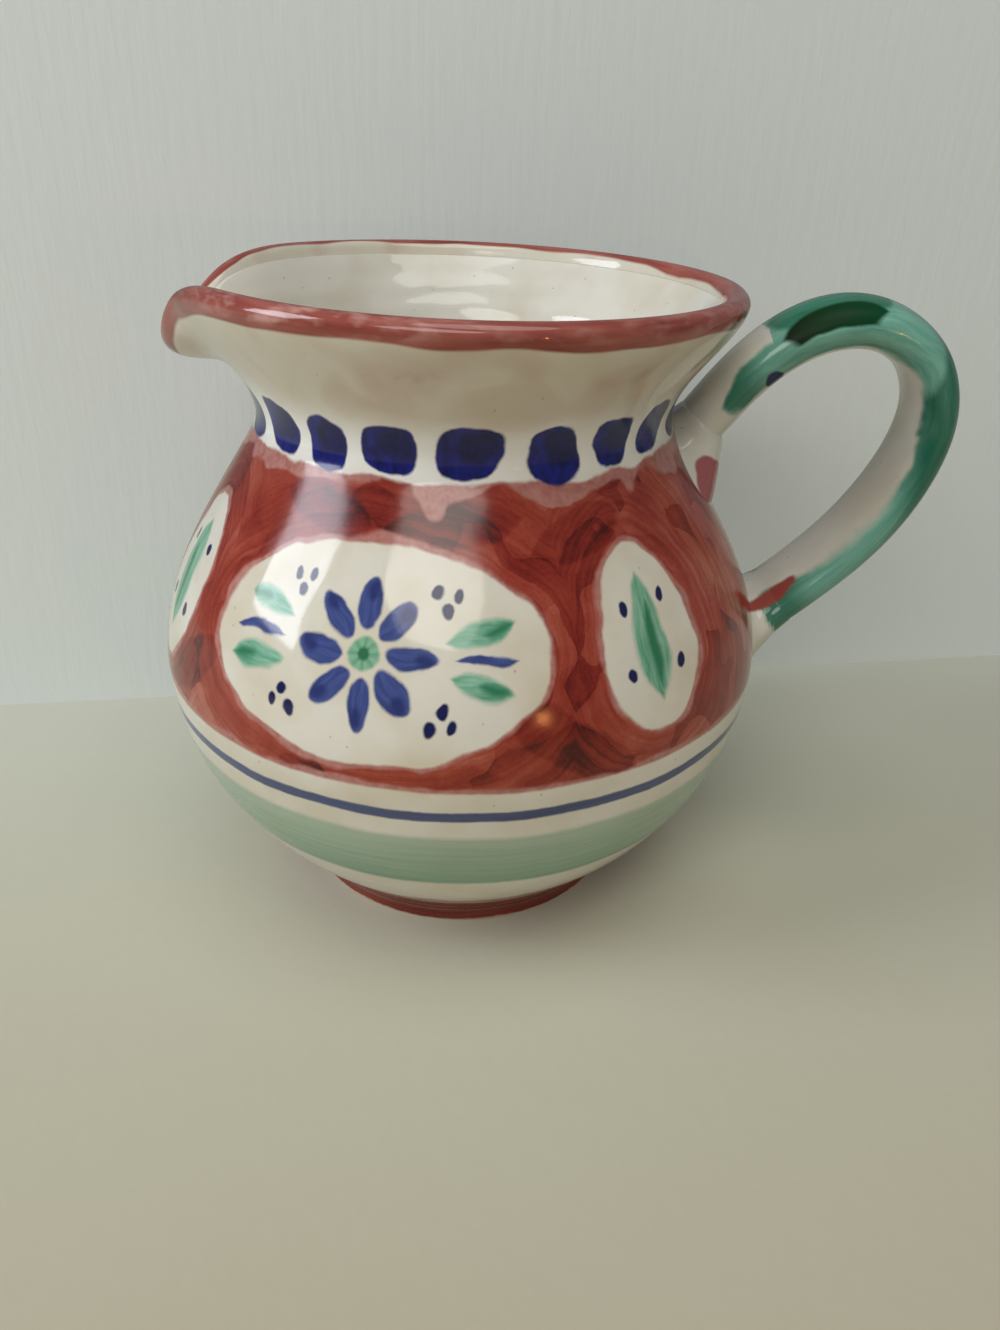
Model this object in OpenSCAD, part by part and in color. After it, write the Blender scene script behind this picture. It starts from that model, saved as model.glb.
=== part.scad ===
// Hand-thrown earthenware jug with a foot ring, a pulled spout and a strap handle.
// It stands on z = 0 with the wheel's axis on Z, its spout towards -X and its handle towards +X.

/* [Body] */
// Height of the rim's crest above the table
jug_h = 152; // [146:1:162]
// Radius of the belly where it is widest
belly_r = 75; // [70:0.5:80]
// Height of the widest part of the belly, as a share of the jug's height
belly_share = 0.421; // [0.38:0.005:0.45]
// Outer radius of the neck where it is narrowest
neck_r = 48.5; // [45:0.5:52]
// Height of the narrowest part of the neck, as a share of the jug's height
neck_share = 0.7993; // [0.77:0.0001:0.82]
// Outer radius of the rolled lip
lip_r = 62.9; // [59:0.1:66]
// Thickness of the belly's wall
wall_t = 4.6; // [3.6:0.1:6]
// Thickness of the neck's wall
neck_t = 4.4; // [3.6:0.1:5.4]
// Thickness of the rolled lip
lip_t = 5.6; // [4.6:0.1:6.6]
// Thickness of the floor
floor_t = 5; // [4:0.1:7]
// How much lower the rim is over the handle than on the axis
rim_lean = 1.1; // [0:0.1:2]

/* [Foot ring] */
// Height of the foot ring
foot_h = 7; // [5:0.5:9]
// Outer radius of the foot ring at the table
foot_r = 43.2; // [40:0.2:45]
// Outer radius of the foot ring where it meets the body
base_r = 45.5; // [45.2:0.1:48]
// Width of the foot ring from its outside to its inside
foot_w = 6; // [4.5:0.1:8]
// Radius of the worn edges of the standing face
foot_edge = 0.9; // [0.4:0.1:1.5]

/* [Spout] */
// How far the spout's root is pulled outwards
spout_pull = 1.5; // [0:0.1:3]
// How far the spout's lip sags below the rim
spout_drop = 5; // [2:0.1:7]
// How far the lip is turned over, in degrees
spout_turn = 42; // [20:1:50]
// Angle round the rim at which the spout fades to a third, in degrees
spout_half_angle = 17; // [13:0.5:22]
// Where the point that the lip is turned about lies on the way out from the neck to the lip
pivot_out_share = 0.035; // [0:0.005:0.1]
// Where that point lies on the way up from the neck to the lip
pivot_up_share = 0.632; // [0.56:0.002:0.7]
// Where the spout starts to leave the neck, on the way up from the neck to the lip
spout_low_share = 0.126; // [0.06:0.002:0.24]
// Where the lip is fully turned, on the way up from the neck to the lip
spout_high_share = 0.884; // [0.78:0.002:0.98]

/* [Handle] */
// How far the strap's centre line stands out past the belly
handle_reach = 36.3; // [29:0.1:43]
// Where the strap's centre line is highest, on the way up from the neck to the rim
handle_top_share = 0.715; // [0.6:0.005:0.85]
// Where the strap leaves the shoulder, on the way up from the belly to the neck
upper_root_share = 0.866; // [0.8:0.002:0.9]
// Where the strap meets the belly, on the way up from the belly to the neck
lower_root_share = 0.08; // [0:0.005:0.16]
// Width of the strap at its upper end
strap_upper_w = 18; // [14:0.5:24]
// Width of the strap at its lower end
strap_lower_w = 26; // [20:0.5:30]
// Thickness of the strap at its upper end
strap_upper_t = 11.4; // [9:0.1:13]
// Thickness of the strap at its lower end
strap_lower_t = 10; // [7:0.1:11]

/* [Joints] */
// Thickness of the slip between an end of the strap and the wall
slip_t = 0.6; // [0.4:0.1:1]
// How far the upper joint's wad of clay spreads over the wall
upper_spread = 7; // [4:0.5:9]
// Share of that spread that lies under the strap and not above it
upper_under_share = 0.7; // [0:0.05:0.9]
// How far the lower joint's wad of clay spreads over the wall
lower_spread = 4; // [2:0.5:6]
// Share of that spread that lies under the strap and not above it
lower_under_share = 0.3; // [0:0.05:0.9]
// Thickness at which a joint's wad ends on the strap
joint_edge = 0.5; // [0.3:0.1:0.8]
// Thickness of the glaze that lines the inside
glaze_t = 0.5; // [0.4:0.1:0.8]

/* [Hidden] */

glaze_cream = [0.93, 0.91, 0.85];
foot_red = [0.42, 0.12, 0.10];
sea_green = [0.42, 0.66, 0.58];
slip_white = [0.90, 0.87, 0.82];

// Heights of the belly, of the neck and of the centre of the lip's roll, and the radius of its crest
belly_z = belly_share * jug_h;
neck_z = neck_share * jug_h;
lip_z = jug_h - lip_t / 2;
crest_r = lip_r - lip_t / 2;
// Height of the floor inside, and the radius over which it is flat
floor_z = foot_h + floor_t;
floor_r = base_r - 2 * floor_t;
// Point that the spout's lip is turned about, and the heights between which it turns
pivot_r = neck_r + pivot_out_share * (lip_r - neck_r);
pivot_z = neck_z + pivot_up_share * (lip_z - neck_z);
spout_low_z = neck_z + spout_low_share * (lip_z - neck_z);
spout_high_z = neck_z + spout_high_share * (lip_z - neck_z);
// Heights of the strap's top and of its two roots
handle_top_z = neck_z + handle_top_share * (jug_h - neck_z);
upper_root_z = belly_z + upper_root_share * (neck_z - belly_z);
lower_root_z = belly_z + lower_root_share * (neck_z - belly_z);

// Shares of the radius and of the height, from the foot up to the belly
low_shares = [[0, 0], [0.17, 0.1], [0.33, 0.185], [0.49, 0.28], [0.715, 0.46], [0.885, 0.64], [0.965, 0.82]];
// Shares of the radius and of the height, from the belly up to the neck
shoulder_shares = [[0, 0], [0.057, 0.185], [0.196, 0.365], [0.405, 0.545], [0.65, 0.725], [0.885, 0.89]];
// Shares of the radius and of the height, from the neck up to the lip
flare_shares = [[0, 0], [0.04, 0.18], [0.2, 0.36], [0.45, 0.55], [0.74, 0.75], [0.95, 0.92], [1, 1]];
// Shares of the way out from the neck and of the rise above the lower root, along the strap
strap_shares = [[0.29, 0.85], [0.52, 0.975], [0.75, 0.985], [0.93, 0.89], [1, 0.715], [0.93, 0.5], [0.74, 0.26]];

// Steps of the curves, in spans of their control points, and of the lip's roll
wall_steps = 2;
strap_steps = 4;
lip_steps = 7;
// Steps round the body, in degrees: fine ones near the spout and coarse ones elsewhere
spout_zone = 45;
fine_step = 3;
coarse_step = 6;
angles = concat([for (a = [0 : coarse_step : 180 - spout_zone - coarse_step]) a],
                [for (a = [180 - spout_zone : fine_step : 180 + spout_zone]) a],
                [for (a = [180 + spout_zone + coarse_step : coarse_step : 360 - coarse_step]) a]);
// Half the angle of the body that the strap and its joints are cut to
core_angle = 36;
// Points round the strap, and how square its section is: 1 is an ellipse
strap_points = 20;
squareness = 0.77;
// Stations along a joint's wad, and its share of the strap's first or last control span
joint_steps = 7;
joint_share = 0.42;
// How far the strap and the wads run on into the body before they are cut off at the wall
root_sink = strap_upper_t;
// How far under the wall's surface a wad has spread out fully
wad_sink = wall_t / 2;
// First control point of the outer curve that the inner wall follows
first_inner = 2;

function mix(a, b, t) = a + (b - a) * t;
function smooth(t) = let (u = max(0, min(1, t))) u * u * (3 - 2 * u);
function last(list) = list[len(list) - 1];
function reversed(list) = [for (i = [len(list) - 1 : -1 : 0]) list[i]];

// Point at share t of the span that starts at control point i
function curve_at(pts, i, t) =
    let (a = pts[i], b = pts[i + 1])
    let (ta = (b - pts[max(i - 1, 0)]) / 2, tb = (pts[min(i + 2, len(pts) - 1)] - a) / 2)
    a * (1 + t * t * (2 * t - 3)) + b * t * t * (3 - 2 * t)
    + ta * t * (1 - t) * (1 - t) - tb * t * t * (1 - t);

function curve(pts, steps) = concat(
    [for (i = [0 : len(pts) - 2], k = [0 : steps - 1]) curve_at(pts, i, k / steps)],
    [last(pts)]);

// Unit normal on the right of a curve at its point i
function normal(pts, i) =
    let (d = pts[min(i + 1, len(pts) - 1)] - pts[max(i - 1, 0)])
    [d[1], -d[0]] / norm(d);

// Outer curve from the foot ring to the lip
outer_points = concat(
    [for (s = low_shares) [mix(base_r, belly_r, s[0]), mix(foot_h, belly_z, s[1])]],
    [for (s = shoulder_shares) [mix(belly_r, neck_r, s[0]), mix(belly_z, neck_z, s[1])]],
    [for (s = flare_shares) [mix(neck_r, lip_r, s[0]), mix(neck_z, lip_z, s[1])]]);
outer_curve = curve(outer_points, wall_steps);

// Thickness of the wall at height z, from the floor to the lip
function thickness(z) = z < belly_z ? mix(floor_t, wall_t, (z - foot_h) / (belly_z - foot_h))
    : z < neck_z ? mix(wall_t, neck_t, (z - belly_z) / (neck_z - belly_z))
    : mix(neck_t, lip_t, (z - neck_z) / (lip_z - neck_z));

// Inner curve from the lip down to the axis
inner_curve = concat(
    [[lip_r - lip_t, lip_z]],
    [for (i = [len(outer_points) - 2 : -1 : first_inner])
        outer_points[i] - normal(outer_points, i) * thickness(outer_points[i][1])],
    [[floor_r, floor_z], [floor_r / 2, floor_z], [0, floor_z]]);

// The lip's roll, from its outside over its crest to its inside
lip_roll = [for (k = [1 : lip_steps - 1])
    [crest_r, lip_z] + lip_t / 2 * [cos(180 * k / lip_steps), sin(180 * k / lip_steps)]];

// Share of the spout's shape at angle a round the rim
function spout_share(a) = exp(-pow((a - 180) / spout_half_angle, 2));

// Where the potter's pull at the spout and the rim's lean take a turned point
function formed(p, a) =
    let (g = spout_share(a))
    let (s = g * smooth((p[1] - spout_low_z) / (spout_high_z - spout_low_z)))
    let (pull = spout_pull * g * smooth((p[1] - neck_z) / (pivot_z - neck_z)))
    let (turn = spout_turn * s, pivot = [pivot_r + spout_pull * g, pivot_z])
    let (off = [p[0] + pull, p[1]] - pivot)
    let (r = p[0] == 0 ? 0 : pivot[0] + off[0] * cos(turn) + off[1] * sin(turn))
    let (z = p[0] == 0 ? p[1] : pivot[1] - off[0] * sin(turn) + off[1] * cos(turn) - spout_drop * s)
    let (lean = rim_lean * smooth((p[1] - neck_z) / (lip_z - neck_z)) * r / lip_r)
    [r * cos(a), r * sin(a), z - lean * cos(a)];

// A solid turned on the wheel and then formed. Its outline starts and ends on the axis.
module turned(outline) {
    rings = [for (p = outline) if (p[0] > 0) p];
    n = len(angles);
    top = len(rings) * n + 1;
    points = concat([formed(outline[0], 0)],
                    [for (p = rings, a = angles) formed(p, a)],
                    [formed(last(outline), 0)]);
    sides = [for (k = [0 : len(rings) - 2], i = [0 : n - 1])
        let (a = k * n + i + 1, b = k * n + (i + 1) % n + 1)
        each [[a, a + n, b + n], [a, b + n, b]]];
    bottom_fan = [for (i = [0 : n - 1]) [0, i + 1, (i + 1) % n + 1]];
    top_fan = [for (i = [0 : n - 1]) [top - n + i, top, top - n + (i + 1) % n]];
    polyhedron(points, concat(bottom_fan, sides, top_fan));
}

// The part of the solid body behind the strap, grown by extra on its outside
module core(extra) {
    low_z = lower_root_z - strap_lower_w;
    high_z = upper_root_z + strap_lower_w;
    rows = [for (i = [0 : len(outer_curve) - 1])
        if (outer_curve[i][1] > low_z && outer_curve[i][1] < high_z)
            outer_curve[i] + normal(outer_curve, i) * extra];
    slice = [for (a = [-core_angle : coarse_step : core_angle]) a];
    n = len(slice) + 1;
    m = len(rows);
    points = [for (p = rows) each concat([[0, 0, p[1]]], [for (a = slice) formed(p, a)])];
    sides = [for (k = [0 : m - 2], i = [0 : n - 1])
        let (a = k * n + i, b = k * n + (i + 1) % n)
        each [[a, a + n, b + n], [a, b + n, b]]];
    bottom_fan = [for (i = [1 : n - 2]) [0, i, i + 1]];
    top_fan = [for (i = [1 : n - 2]) [(m - 1) * n, (m - 1) * n + i + 1, (m - 1) * n + i]];
    polyhedron(points, concat(bottom_fan, sides, top_fan));
}

// A tube through stations of [point, direction, width, thickness] in the XZ plane
module swept(stations) {
    n = strap_points;
    m = len(stations);
    points = [for (s = stations, k = [0 : n - 1])
        let (c = cos(360 * k / n), q = sin(360 * k / n))
        let (out = sign(c) * pow(abs(c), squareness) * s[3] / 2)
        let (side = sign(q) * pow(abs(q), squareness) * s[2] / 2)
        [s[0][0] - s[1][1] * out, side, s[0][1] + s[1][0] * out]];
    sides = [for (j = [0 : m - 2], k = [0 : n - 1])
        let (a = j * n + k, b = j * n + (k + 1) % n)
        each [[a, b, b + n], [a, b + n, a + n]]];
    start = [for (k = [n - 1 : -1 : 0]) k];
    end = [for (k = [0 : n - 1]) (m - 1) * n + k];
    polyhedron(points, concat([start], sides, [end]));
}

// Centre line of the strap, from the shoulder over the top to the belly
function wall_at(z) = lookup(z, [for (p = outer_curve) [p[1], p[0]]]);
strap_line = concat(
    [[wall_at(upper_root_z), upper_root_z]],
    [for (s = strap_shares)
        [mix(neck_r, belly_r + handle_reach, s[0]), mix(lower_root_z, handle_top_z, s[1])]],
    [[wall_at(lower_root_z), lower_root_z]]);
strap_spans = len(strap_line) - 1;

// Station at t spans along the strap, moved on by ahead
function station(t, ahead) =
    let (i = min(floor(t), strap_spans - 1), e = 1 / 100)
    let (p = curve_at(strap_line, i, t - i))
    let (q = t > e ? curve_at(strap_line, i, t - i - e) : curve_at(strap_line, i, t - i + e))
    let (d = (t > e ? p - q : q - p) / norm(p - q), share = t / strap_spans)
    [p + d * ahead, d, mix(strap_upper_w, strap_lower_w, share),
     mix(strap_upper_t, strap_lower_t, share)];

module strap() {
    difference() {
        swept(concat([station(0, -root_sink)],
                     [for (k = [0 : strap_spans * strap_steps]) station(k / strap_steps, 0)],
                     [station(strap_spans, root_sink)]));
        core(slip_t);
    }
}

// Unit normal of the body's outside at height z
function wall_normal(z) =
    let (slope = (wall_at(z + wall_t) - wall_at(z - wall_t)) / (2 * wall_t))
    [1, -slope] / norm([1, slope]);

// Station of a wad round the strap, u of the way from the wall to the wad's end.
// It lies along the wall at the wall and square to the strap at its end. side is 1 where
// the strap leaves the body and -1 where it comes back, and sink takes it into the body.
function wad_station(u, side, spread, under_share, sink) =
    let (s = station(side > 0 ? joint_share * u : strap_spans - joint_share * u, 0))
    let (m = wall_normal(s[0][1]) * side * (1 - u) + s[1] * u, d = m / norm(m))
    let (wide = spread * (1 - u) * (1 - u), under = [d[1], -d[0]] * side * under_share * wide)
    [s[0] - d * side * sink + under, d, s[2] + 2 * (joint_edge + wide),
     s[3] / (d * s[1]) + 2 * (joint_edge + wide)];

// A wad of clay pressed round the strap where it meets the wall
module joint(side, spread, under_share) {
    wad = concat([wad_station(0, side, spread, under_share, root_sink)],
                 [for (k = [0 : joint_steps])
                     let (u = k / joint_steps)
                     wad_station(u, side, spread, under_share, wad_sink * (1 - u))]);
    difference() {
        swept(side > 0 ? wad : reversed(wad));
        core(0);
        strap();
    }
}

module upper_joint() {
    color(slip_white) joint(1, upper_spread, upper_under_share);
}

module lower_joint() {
    color(slip_white) joint(-1, lower_spread, lower_under_share);
}

module handle() {
    color(sea_green) strap();
}

module body() {
    color(glaze_cream) turned(concat([[0, foot_h]], outer_curve, lip_roll, inner_curve));
}

// Glaze on the inside, from the middle of the floor up to the inside of the lip
module glaze_lining() {
    wet = [for (i = [0 : len(inner_curve) - 1]) inner_curve[i] + normal(inner_curve, i) * glaze_t];
    color(glaze_cream) turned(concat(reversed(inner_curve), wet));
}

module foot_ring() {
    inner_r = foot_r - foot_w;
    arc = [0 : 30 : 90];
    color(foot_red) rotate_extrude($fn = 96) polygon(concat(
        [[inner_r, foot_h]],
        [for (a = arc) [inner_r + foot_edge * (1 - cos(a)), foot_edge * (1 - sin(a))]],
        [for (a = arc) [foot_r - foot_edge * (1 - sin(a)), foot_edge * (1 - cos(a))]],
        [[foot_r, foot_h / 2], [base_r, foot_h]]));
}

body();
foot_ring();
handle();
upper_joint();
lower_joint();
glaze_lining();
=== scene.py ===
# %% [markdown]
# # A hand-painted jug, dressed in Blender
# The object is a tin-glazed earthenware jug: a thrown belly and neck, a spout pulled with the
# fingers, a strap handle and a foot ring, painted by brush under a clear gloss. The CAD model has
# the right sizes, but a glossy glaze shows the flat facets of its solids, so each of them gets a
# smooth piece of its own here, in the same place.
#
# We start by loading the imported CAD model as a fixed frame. It is in metres, and the jug's turning
# axis is Z, with the spout towards -X and the handle towards +X.

# %% Load the frame
import math

import bpy
import numpy as np
from mathutils import Matrix, Vector


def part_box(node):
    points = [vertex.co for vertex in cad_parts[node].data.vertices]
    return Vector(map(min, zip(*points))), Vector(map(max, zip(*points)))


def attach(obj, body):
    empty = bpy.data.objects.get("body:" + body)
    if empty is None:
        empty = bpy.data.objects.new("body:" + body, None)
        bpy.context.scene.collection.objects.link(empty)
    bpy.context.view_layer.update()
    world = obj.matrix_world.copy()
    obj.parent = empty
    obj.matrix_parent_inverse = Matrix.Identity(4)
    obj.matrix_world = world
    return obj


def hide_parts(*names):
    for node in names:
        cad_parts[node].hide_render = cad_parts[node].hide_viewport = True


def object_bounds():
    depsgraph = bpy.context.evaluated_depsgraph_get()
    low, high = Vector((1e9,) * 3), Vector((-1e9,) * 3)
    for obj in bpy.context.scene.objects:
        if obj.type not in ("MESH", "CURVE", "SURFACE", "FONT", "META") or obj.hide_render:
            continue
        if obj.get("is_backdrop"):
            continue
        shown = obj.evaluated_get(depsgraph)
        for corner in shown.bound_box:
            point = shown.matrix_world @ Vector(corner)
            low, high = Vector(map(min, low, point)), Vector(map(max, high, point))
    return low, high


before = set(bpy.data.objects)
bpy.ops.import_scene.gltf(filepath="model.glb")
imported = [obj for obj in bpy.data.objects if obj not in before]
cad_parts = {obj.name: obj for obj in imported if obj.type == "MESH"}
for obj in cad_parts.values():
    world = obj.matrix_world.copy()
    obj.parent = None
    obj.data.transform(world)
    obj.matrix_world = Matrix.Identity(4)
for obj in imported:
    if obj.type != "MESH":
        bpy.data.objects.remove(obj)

cad_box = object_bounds()
MM = 0.001
print("CAD box in mm:", [[round(c / MM, 1) for c in corner] for corner in cad_box])

# %% [markdown]
# ## Throwing: one closed line, ring by ring
# A potter raises a wall from a disc of clay on the wheel. In Blender that is a filled circle that
# is extruded again and again: each step lifts it to the next height and sizes it to the next
# radius. The spin tool could turn the same line round the axis, but it leaves a seam to merge, and
# rings are easy to select by height when the spout is pulled.

# %% Helpers that begin and close a mesh
def begin(name, primitive, **size_and_place):
    """Adds a primitive, names it, and opens it in edit mode with all its points selected."""
    bpy.ops.object.select_all(action="DESELECT")
    primitive(**size_and_place)
    piece = bpy.context.object
    piece.name = piece.data.name = name
    bpy.ops.object.mode_set(mode="EDIT")
    bpy.ops.mesh.select_mode(type="VERT")
    bpy.ops.mesh.select_all(action="SELECT")
    return piece

def close():
    """Merges doubled points, turns the faces outwards, and applies the open piece's place."""
    bpy.ops.mesh.select_all(action="SELECT")
    bpy.ops.mesh.remove_doubles(threshold=0.01 * MM)
    bpy.ops.mesh.normals_make_consistent(inside=False)
    bpy.ops.object.mode_set(mode="OBJECT")
    bpy.ops.object.transform_apply(location=True, rotation=True, scale=True)

# %% A helper that throws rings
round_steps = 60

def throw(name, rings, fill):
    """A turned shape, from the (radius, height) of each ring in mm."""
    radius, height = rings[0]
    piece = begin(name, bpy.ops.mesh.primitive_circle_add, vertices=round_steps,
                  radius=radius * MM, fill_type=fill, location=(0, 0, height * MM))
    for (r0, z0), (r1, z1) in zip(rings, rings[1:]):
        bpy.ops.mesh.extrude_region_move(TRANSFORM_OT_translate={"value": (0, 0, (z1 - z0) * MM)})
        bpy.ops.transform.resize(value=(r1 / r0, r1 / r0, 1), center_override=(0, 0, z1 * MM))
    close()
    print(name, "has", len(piece.data.vertices), "points on", len(rings), "rings")
    return piece

# %% [markdown]
# ## The body's line
# These are the radii and heights of the wall in millimetres, as in the CAD model: up the outside
# from the foot, round the lip's roll, and down the inside to the floor. Two rings close together
# at the foot keep that corner tight when the surface is smoothed.

# %% Rings of the body
lip_radius, lip_height = 62.9, 149.2
outside = [
    (45.5, 7.0), (45.75, 7.25), (47.71, 9.55), (50.52, 12.7), (55.23, 17.54), (59.95, 22.96),
    (63.26, 27.78), (66.59, 33.22), (69.37, 38.35), (71.61, 43.47), (73.04, 48.6),
    (73.97, 53.73), (74.73, 58.84), (75.0, 63.99), (74.54, 69.31), (73.49, 74.63),
    (71.9, 79.82), (69.81, 84.98), (67.21, 90.16), (64.27, 95.33), (61.06, 100.56),
    (57.77, 105.68), (54.45, 110.68), (51.55, 115.17), (49.6, 118.61), (48.5, 121.49),
    (48.45, 124.07), (49.08, 126.48), (50.04, 128.96), (51.38, 131.47), (53.06, 134.07),
    (54.98, 136.73), (57.1, 139.54), (59.16, 142.27), (60.88, 144.84), (62.18, 146.98)]
lip = [
    (lip_radius, lip_height), (62.62, 150.41), (61.85, 151.39), (60.72, 151.93), (59.48, 151.93),
    (58.35, 151.39), (57.58, 150.41)]
inside = [
    (57.15, 148.9), (54.82, 145.32), (50.87, 139.69), (47.19, 133.88), (44.64, 127.76),
    (44.2, 120.55), (47.73, 112.93), (54.02, 103.28), (60.38, 93.07), (65.67, 83.14),
    (69.06, 73.53), (70.4, 63.89), (69.36, 54.5), (67.14, 45.08), (62.4, 35.59),
    (56.0, 25.83), (51.61, 20.88), (45.5, 15.4), (35.5, 12.0), (20.0, 12.0)]
underside = [(20.0, 7.0), (38.0, 7.0), (45.2, 7.0)]
wall_line = underside + outside + lip + inside
body = throw("painted_body", wall_line, "TRIFAN")

# %% [markdown]
# ## How far each point is from the rim
# The red on the rim follows the lip wherever the spout takes it, so it can't be painted by height.
# While the jug is still round, each point gets its distance along the wall from the lip's crest,
# positive outside and negative inside. As a point attribute it stays when the clay is bent.

# %% Measure along the wall
line = np.array(wall_line)
walked = np.concatenate([[0], np.cumsum(np.linalg.norm(np.diff(line, axis=0), axis=1))])
crest = len(underside) + len(outside) + 3
crest_walked = (walked[crest] + walked[crest + 1]) / 2

def points(piece):
    """The piece's points in mm, one in each row."""
    return np.array([v.co for v in piece.data.vertices]) / MM

x, y, z = points(body).T
profile = np.column_stack([np.hypot(x, y), z])
closest = np.linalg.norm(profile[:, None] - line[None], axis=2).argmin(axis=1)
from_rim = (crest_walked - walked[closest]).astype(np.float32)
body.data.attributes.new("from_rim", "FLOAT", "POINT").data.foreach_set("value", from_rim)
print("from the foot to the crest is", round(float(crest_walked), 1), "mm along the wall")

# %% [markdown]
# ## Pulling the spout
# The potter steadies the lip with two fingers and draws a third outwards and down between them.
# Proportional editing is the same gesture: the lip's points at the spout are turned about a point
# in the wall under them, and their neighbours follow less the further off they are. First the
# whole rim leans a little towards the handle, because the clay was still soft.

# %% Helpers that pick points and move them softly
def select_points(piece, wanted):
    """Selects in edit mode the points where wanted(x, y, z), in mm, holds."""
    bpy.ops.object.mode_set(mode="EDIT")
    bpy.ops.mesh.select_mode(type="VERT")
    bpy.ops.mesh.select_all(action="DESELECT")
    bpy.ops.object.mode_set(mode="OBJECT")
    piece.data.vertices.foreach_set("select", wanted(*points(piece).T))
    bpy.ops.object.mode_set(mode="EDIT")

def softly(reach):
    """Settings with which the points within reach, in mm, follow a move smoothly."""
    return dict(use_proportional_edit=True, proportional_edit_falloff="SMOOTH",
                proportional_size=reach * MM)

# %% Lean the rim and pull the spout
lean, lean_reach = 1.1, 27.7
spout_turn, spout_reach, spout_pivot = math.radians(42), 26, (-50.5 * MM, 0, 139 * MM)
select_points(body, lambda x, y, z: z > 148.8)
bpy.ops.transform.rotate(value=-math.atan2(lean, lip_radius), orient_axis="Y",
                         center_override=(0, 0, lip_height * MM), **softly(lean_reach))
select_points(body, lambda x, y, z: (z > 146) & (abs(np.arctan2(y, x)) > math.radians(179)))
bpy.ops.transform.rotate(value=spout_turn, orient_axis="Y", center_override=spout_pivot,
                         **softly(spout_reach))
bpy.ops.transform.translate(value=(-1.5 * MM, 0, -5 * MM), **softly(spout_reach))
bpy.ops.object.mode_set(mode="OBJECT")

# %% [markdown]
# ## Settling the clay on the CAD wall
# The hand-made bend is within about a millimetre of the CAD model. A Shrinkwrap modifier moves the
# lip and the neck onto the nearest place of the CAD solid, so the jug keeps its exact size. A vertex
# group limits it to them, as the rest is already in place.

# %% Shrinkwrap the neck and the spout
def group_points(piece, name, wanted):
    """Puts the points that are wanted in a vertex group."""
    piece.vertex_groups.new(name=name).add(np.flatnonzero(wanted).tolist(), 1, "REPLACE")

def choose(piece):
    """Selects this piece alone and makes it the active one."""
    bpy.ops.object.select_all(action="DESELECT")
    piece.select_set(True)
    bpy.context.view_layer.objects.active = piece

def apply_modifier(piece, kind, **settings):
    """Adds a modifier to the piece, with its settings, and applies it."""
    choose(piece)
    modifier = piece.modifiers.new(kind.lower(), kind)
    for key, value in settings.items():
        setattr(modifier, key, value)
    bpy.ops.object.modifier_apply(modifier=modifier.name)

neck_height = 124
group_points(body, "formed", points(body)[:, 2] > neck_height)
apply_modifier(body, "SHRINKWRAP", target=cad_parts["body"], vertex_group="formed",
               wrap_method="NEAREST_SURFACEPOINT")

# %% [markdown]
# ## The glaze inside
# Inside, the white glaze makes the porous clay hold water. It is a skin on the wall, so the body's
# inner faces are copied to a new object and given half a millimetre of thickness. A vertex group
# thins that to nothing at the lip, where the two glazes run together.

# %% Lift the lining off the wall
lining_top = -3.9
choose(body)
bpy.ops.object.mode_set(mode="EDIT")
bpy.ops.mesh.select_mode(type="FACE")
bpy.ops.mesh.select_all(action="DESELECT")
bpy.ops.object.mode_set(mode="OBJECT")
for face in body.data.polygons:
    face.select = all(from_rim[i] < lining_top for i in face.vertices)
bpy.ops.object.mode_set(mode="EDIT")
bpy.ops.mesh.duplicate()
bpy.ops.mesh.separate(type="SELECTED")
bpy.ops.object.mode_set(mode="OBJECT")
lining = next(o for o in bpy.context.selected_objects if o != body)
lining.name = lining.data.name = "inner_glaze"
lining.vertex_groups.clear()
on_lining = np.empty(len(lining.data.vertices), np.float32)
lining.data.attributes["from_rim"].data.foreach_get("value", on_lining)
group_points(lining, "glaze", on_lining < on_lining.max() - 1)
apply_modifier(lining, "SOLIDIFY", thickness=0.5 * MM, offset=1, use_even_offset=True,
               vertex_group="glaze", thickness_vertex_group=0.02)
print("lining has", len(lining.data.polygons), "faces, from", on_lining.max(), "mm inside the rim")

# %% [markdown]
# ## Smoothing
# Catmull-Clark subdivision rounds the rings into one flowing surface, as wet fingers do. Two
# levels are enough for the highlights on a gloss, and stay well under the limit of faces.

# %% Smooth the thrown pieces
def smooth(piece, levels):
    """Subdivides and shades the piece smooth."""
    apply_modifier(piece, "SUBSURF", levels=levels, render_levels=levels)
    bpy.ops.object.shade_smooth()
    print(piece.name, "has", sum(len(p.vertices) - 2 for p in piece.data.polygons), "triangles")

smooth(body, 2)
smooth(lining, 1)

# %% [markdown]
# ## The foot ring
# The potter turns a ring of clay under the floor, so that the jug stands on a narrow circle. Its
# line is closed, so the last ring meets the first and their points are merged. The edges that
# stand on the table are worn round.

# %% Throw the foot ring
foot_line = [
    (37.2, 7.0), (37.2, 4.0), (37.2, 0.9), (37.46, 0.26), (38.1, 0.0), (39.5, 0.0), (41.0, 0.0),
    (42.3, 0.0), (42.94, 0.26), (43.2, 0.9), (43.2, 3.5), (44.3, 5.3), (45.5, 7.0), (45.4, 7.1),
    (41.0, 7.1), (37.3, 7.1), (37.2, 7.0)]
foot = throw("turned_foot", foot_line, "NOTHING")
smooth(foot, 2)

# %% [markdown]
# ## The strap handle
# A handle is pulled from a roll of wet clay until it is a flat strap with soft edges, then bent
# into a loop and pressed on. Its section starts as a plane whose corners are bevelled round. It is
# extruded from station to station along the centre line, and at each it is turned to the new
# heading and sized, wider and thinner towards the lower end.

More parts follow.
